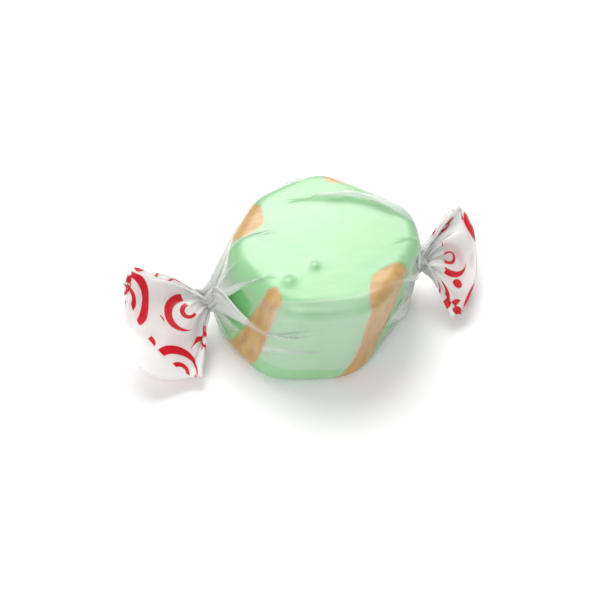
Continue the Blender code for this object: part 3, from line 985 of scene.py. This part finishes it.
def candy_material():
    """Soft pulled taffy: green with faint streaks, caramel inside the stripes' field."""
    nodes = Nodes("soft_taffy")
    place = nodes.position()
    streaks = nodes.out("Mapping", {"Vector": place, "Scale": STREAK_SCALE})
    cloud = nodes.noise(place, CLOUD_SCALE, 2.0)
    line = nodes.noise(streaks, 1.0, 4.0)
    green = nodes.mix(nodes.ramp(line, 0.3, 0.7), GREEN_DEEP, GREEN_PALE)
    green = nodes.mix(nodes.ramp(cloud, 0.35, 0.65), green, GREEN_CLOUD)
    caramel = nodes.mix(nodes.ramp(line, 0.35, 0.65), CARAMEL_DEEP, CARAMEL_PALE)
    ragged = nodes.plus(nodes.attribute("caramel"), nodes.centred(cloud, 0.9))
    colour = nodes.mix(nodes.ramp(ragged, -0.12, 0.22), green, caramel)
    sockets = {
        "Base Color": colour,
        "Roughness": 0.42,
        "Subsurface Weight": 0.25,
        "Subsurface Radius": (0.6, 1.0, 0.5),
        "Subsurface Scale": 0.0012,
        "Normal": nodes.bump(line, 0.00008),
    }
    return nodes.finish(nodes.out("BsdfPrincipled", sockets))


# The print on the twisted ends, in the flat sheet's millimetres. A hollow shape is a disc's place and
# radius, and those of the disc that is cut out of it.
PRINT_START = 26.0
PRINT_PAST = 0.6
CELL_WIDTH, CELL_LENGTH = 9.5, 7.6
CRESCENT = ((0.0, 0.0, 3.3), (0.75, 0.35, 2.75))
RING = ((0.5, -0.1, 1.45), (0.65, 0.05, 0.85))
ARC = ((3.3, -3.1, 1.9), (2.9, -3.5, 1.6))
DOT = (-3.4, 2.9, 0.75)
INK_EDGE = 0.06
INK = (0.76, 0.012, 0.032, 1)


def print_cell(nodes, around, along):
    """The place in a cell of the print's staggered rows, and which cell it is."""
    down = nodes.math("DIVIDE", along, CELL_LENGTH)
    row = nodes.math("FLOOR", down)
    shifted = nodes.math("DIVIDE", around, CELL_WIDTH)
    shifted = nodes.plus(shifted, nodes.times(row, 0.5))
    local_x = nodes.centred(nodes.math("FRACT", shifted), CELL_WIDTH)
    local_y = nodes.centred(nodes.math("FRACT", down), CELL_LENGTH)
    local = nodes.out("CombineXYZ", {0: local_x, 1: local_y})
    column = nodes.math("FLOOR", shifted)
    return local, nodes.out("CombineXYZ", {0: column, 1: row})


def print_mask(nodes):
    """Where the red ink is: loose crescents, rings and dots in rows, on the twisted ends alone."""
    sheet = nodes.out("UVMap", uv_map="flat_sheet")
    split = nodes.add("SeparateXYZ", {0: sheet})
    around = nodes.times(split.outputs[0], SHEET_UNIT)
    along = nodes.times(split.outputs[1], SHEET_UNIT)
    local, cell = print_cell(nodes, around, along)
    chance = nodes.out("TexWhiteNoise", {"Vector": cell}, noise_dimensions="3D")
    angle = nodes.times(chance, 2 * math.pi)
    turned = nodes.out("VectorRotate", {"Vector": local, "Angle": angle})

    def disc(x, y, radius):
        """How far outside a disc the point is."""
        sockets = {0: turned, 1: (x, y, 0.0)}
        reach = nodes.add("VectorMath", sockets, operation="DISTANCE").outputs["Value"]
        return nodes.math("SUBTRACT", reach, radius)

    def hollow(whole, hole):
        return nodes.math("MAXIMUM", disc(*whole), nodes.times(disc(*hole), -1.0))

    shape = disc(*DOT)
    for whole, hole in (CRESCENT, RING, ARC):
        shape = nodes.math("MINIMUM", shape, hollow(whole, hole))
    shape = nodes.plus(shape, nodes.centred(nodes.noise(sheet, 14.0, 1.0), 0.9))
    ink = nodes.ramp(shape, INK_EDGE, -INK_EDGE)
    outer = nodes.math("ABSOLUTE", along)
    left_side = nodes.math("LESS_THAN", along, 0.0)
    longer = nodes.times(left_side, LEFT.cut - RIGHT.cut)
    limit = nodes.plus(longer, RIGHT.cut + TO_NECK + NECK_LENGTH + PRINT_PAST)
    past_start = nodes.math("GREATER_THAN", outer, PRINT_START)
    before_limit = nodes.math("LESS_THAN", outer, limit)
    return nodes.times(ink, nodes.times(past_start, before_limit))


# How much the waxed paper covers what is behind it: touching the candy, lifted from it, and in the
# loose fans.
# It is clearer over caramel and in hollows, by these shares. In the hollows the clearing is partly the
# tight paper and partly painted shade, which lets the candy show darker there.
COVER_TOUCHING = 0.12
COVER_LIFTED = 0.42
COVER_FANS = 0.62
COVER_INK = 0.80
CLEAR_OVER_CARAMEL = 0.22
CLEAR_FOR_SHADE_IN_HOLLOWS = 0.05
FIBRE_SCALE = 2600.0
PATCH_SCALE = 210.0
CRINKLE_SCALE = 420.0
PAPER_WHITE = (0.97, 0.975, 0.965, 1)
WHITE = (1, 1, 1, 1)
LIGHT_THROUGH = 0.38
SHINE_LIMIT = 0.07


def paper_cover(nodes, place, ink):
    """How much the paper covers, and how clear it is over caramel and, as painted shade, in hollows.
    """
    patch = nodes.noise(place, PATCH_SCALE, 3.0)
    lift = nodes.plus(nodes.attribute("lift"), nodes.centred(patch, 0.4))
    cover = nodes.ramp(lift, 0.25, 1.7, COVER_TOUCHING, COVER_LIFTED)
    fibre = nodes.times(nodes.noise(place, FIBRE_SCALE, 4.0), 0.04)
    cover = nodes.plus(cover, fibre)
    cover = nodes.plus(cover, nodes.centred(patch, 0.14))
    over_caramel = nodes.ramp(nodes.attribute("caramel"), -0.3, 0.5, 1.0, CLEAR_OVER_CARAMEL)
    # Painted shade: the paper turns clearer where it lies sunk in the hollows, so that they show
    # darker; partly also tight, clear paper
    hollow_shade = nodes.ramp(nodes.attribute("sunk"), 0.0, 0.5, 1.0, CLEAR_FOR_SHADE_IN_HOLLOWS)
    clear = nodes.times(over_caramel, hollow_shade)
    cover = nodes.times(cover, clear)
    cover = nodes.mix_value(nodes.ramp(nodes.attribute("lift"), 2.2, 5.5), cover, COVER_FANS)
    return nodes.math("MAXIMUM", cover, nodes.times(ink, COVER_INK)), clear


def paper_material():
    """Waxed paper: clear where it touches the candy, whiter where it stands off, its ends printed."""
    nodes = Nodes("waxed_paper_film")
    place = nodes.position()
    ink = print_mask(nodes)
    cover, clear = paper_cover(nodes, place, ink)
    colour = nodes.mix(ink, PAPER_WHITE, INK)
    crinkle = nodes.bump(nodes.noise(place, CRINKLE_SCALE, 2.0), 0.00005, 0.35)
    matt = {"Color": colour, "Normal": crinkle}
    front = nodes.out("BsdfDiffuse", matt)
    through = nodes.out("BsdfTranslucent", matt)
    sheet = nodes.out("MixShader", {0: LIGHT_THROUGH, 1: front, 2: through})
    open_air = nodes.out("BsdfTransparent", {"Color": WHITE})
    body = nodes.out("MixShader", {0: cover, 1: open_air, 2: sheet})
    waxy = {"Color": WHITE, "Roughness": 0.38, "Normal": crinkle}
    gloss = nodes.out("BsdfGlossy", waxy)
    shine = nodes.out("Fresnel", {"IOR": 1.3, "Normal": crinkle})
    shine = nodes.math("MINIMUM", shine, SHINE_LIMIT)
    # Less gloss over caramel, and less in the hollows as painted shade
    shine = nodes.times(shine, nodes.ramp(clear, 0.2, 0.9, 0.4, 1.0))
    return nodes.finish(nodes.out("MixShader", {0: shine, 1: body, 2: gloss}))


def floor_material():
    nodes = Nodes("pale_floor")
    grain = nodes.noise(nodes.position(), 40.0, 2.0)
    colour = nodes.mix(grain, (0.93, 0.93, 0.93, 1), (0.95, 0.95, 0.95, 1))
    sockets = {"Base Color": colour, "Roughness": 0.6, "Specular IOR Level": 0.1}
    return nodes.finish(nodes.out("BsdfPrincipled", sockets))


def dress(piece, material, slot, *replaced):
    piece.data.materials.clear()
    piece.data.materials.append(material)
    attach(piece, "root")
    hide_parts(*replaced)


def make_pieces():
    taffy_finish = candy_material()
    candy = closed_rings("soft_taffy_disc", candy_rings(0.0, 240, 16))
    store_stripe_field(candy)
    dress(candy, taffy_finish, "green_taffy", "taffy")
    for index in range(len(STRIPES)):
        stripe = stripe_piece(index)
        store_stripe_field(stripe)
        dress(stripe, taffy_finish, "caramel_taffy", f"caramel_stripe_{index + 1}")
    wrapper = wrapper_piece(make_paper())
    dress(wrapper, paper_material(), "waxed_paper", "wrapper")


# The camera looks from the photograph's side: bearing, height, distance and the view's centre
CAMERA_BEARING = -10
CAMERA_HEIGHT = 50
CAMERA_DISTANCE = 340.0
CAMERA_TARGET = (0.0, 0.0, 7.0)
SENSOR = 36.0
IMAGE_WIDTH = 608
PIXELS_PER_MM = 6.45
TARGET_PIXEL = (316, 283)


def towards(bearing, height):
    """The direction from the target to something at a bearing (0 is -Y) and a height."""
    bearing, height = math.radians(bearing), math.radians(height)
    level = math.cos(height)
    return np.array([math.sin(bearing) * level, -math.cos(bearing) * level, math.sin(height)])


def aim(made, place):
    """Puts an object at a place in mm and turns its -Z to the target."""
    out = Vector(np.array(place) - np.array(CAMERA_TARGET))
    made.location = np.array(place) * METRE
    made.rotation_euler = out.to_track_quat("Z", "Y").to_euler()


def make_camera():
    lens = bpy.data.cameras.new("camera")
    lens.sensor_width = SENSOR
    lens.lens = SENSOR * CAMERA_DISTANCE * PIXELS_PER_MM / IMAGE_WIDTH
    lens.shift_x = (IMAGE_WIDTH / 2 - TARGET_PIXEL[0]) / IMAGE_WIDTH
    lens.shift_y = (TARGET_PIXEL[1] - IMAGE_WIDTH / 2) / IMAGE_WIDTH
    lens.clip_start = 0.01
    made = new_object("camera", lens)
    aim(made, CAMERA_TARGET + CAMERA_DISTANCE * towards(CAMERA_BEARING, CAMERA_HEIGHT))
    bpy.context.scene.camera = made


# Soft light from all round and three large lamps
WORLD_LIGHT = 0.44
LIGHT_DISTANCE = 420.0
FLOOR_HALF = 900.0
FLOOR_SINK = 0.01


def area_light(name, bearing, height, size, power):
    light = bpy.data.lights.new(name, "AREA")
    light.shape = "DISK"
    light.size = size * METRE
    light.energy = power
    aim(new_object(name, light), CAMERA_TARGET + LIGHT_DISTANCE * towards(bearing, height))


def make_stage():
    signs = ((-1, -1), (1, -1), (1, 1), (-1, 1))
    corners = [(x * FLOOR_HALF, y * FLOOR_HALF, -FLOOR_SINK) for x, y in signs]
    floor = make_mesh("pale_floor", corners, [(0, 1, 2, 3)])
    floor.data.materials.append(floor_material())
    world = bpy.data.worlds.new("studio")
    world.use_nodes = True
    sky = world.node_tree.nodes["Background"].inputs
    sky["Color"].default_value = WHITE
    sky["Strength"].default_value = WORLD_LIGHT
    bpy.context.scene.world = world
    area_light("key", bearing=188, height=58, size=280, power=1.1)
    area_light("sheen", bearing=165, height=46, size=280, power=0.32)
    area_light("fill", bearing=-25, height=42, size=220, power=0.65)


def set_bounces(cycles):
    """Enough bounces for light to pass through the paper's many layers."""
    cycles.transparent_max_bounces = 96
    cycles.max_bounces = 24
    cycles.diffuse_bounces = 12
    cycles.transmission_bounces = 16


make_pieces()
make_stage()
make_camera()
bpy.context.scene.view_settings.view_transform = "Standard"
set_bounces(bpy.context.scene.cycles)
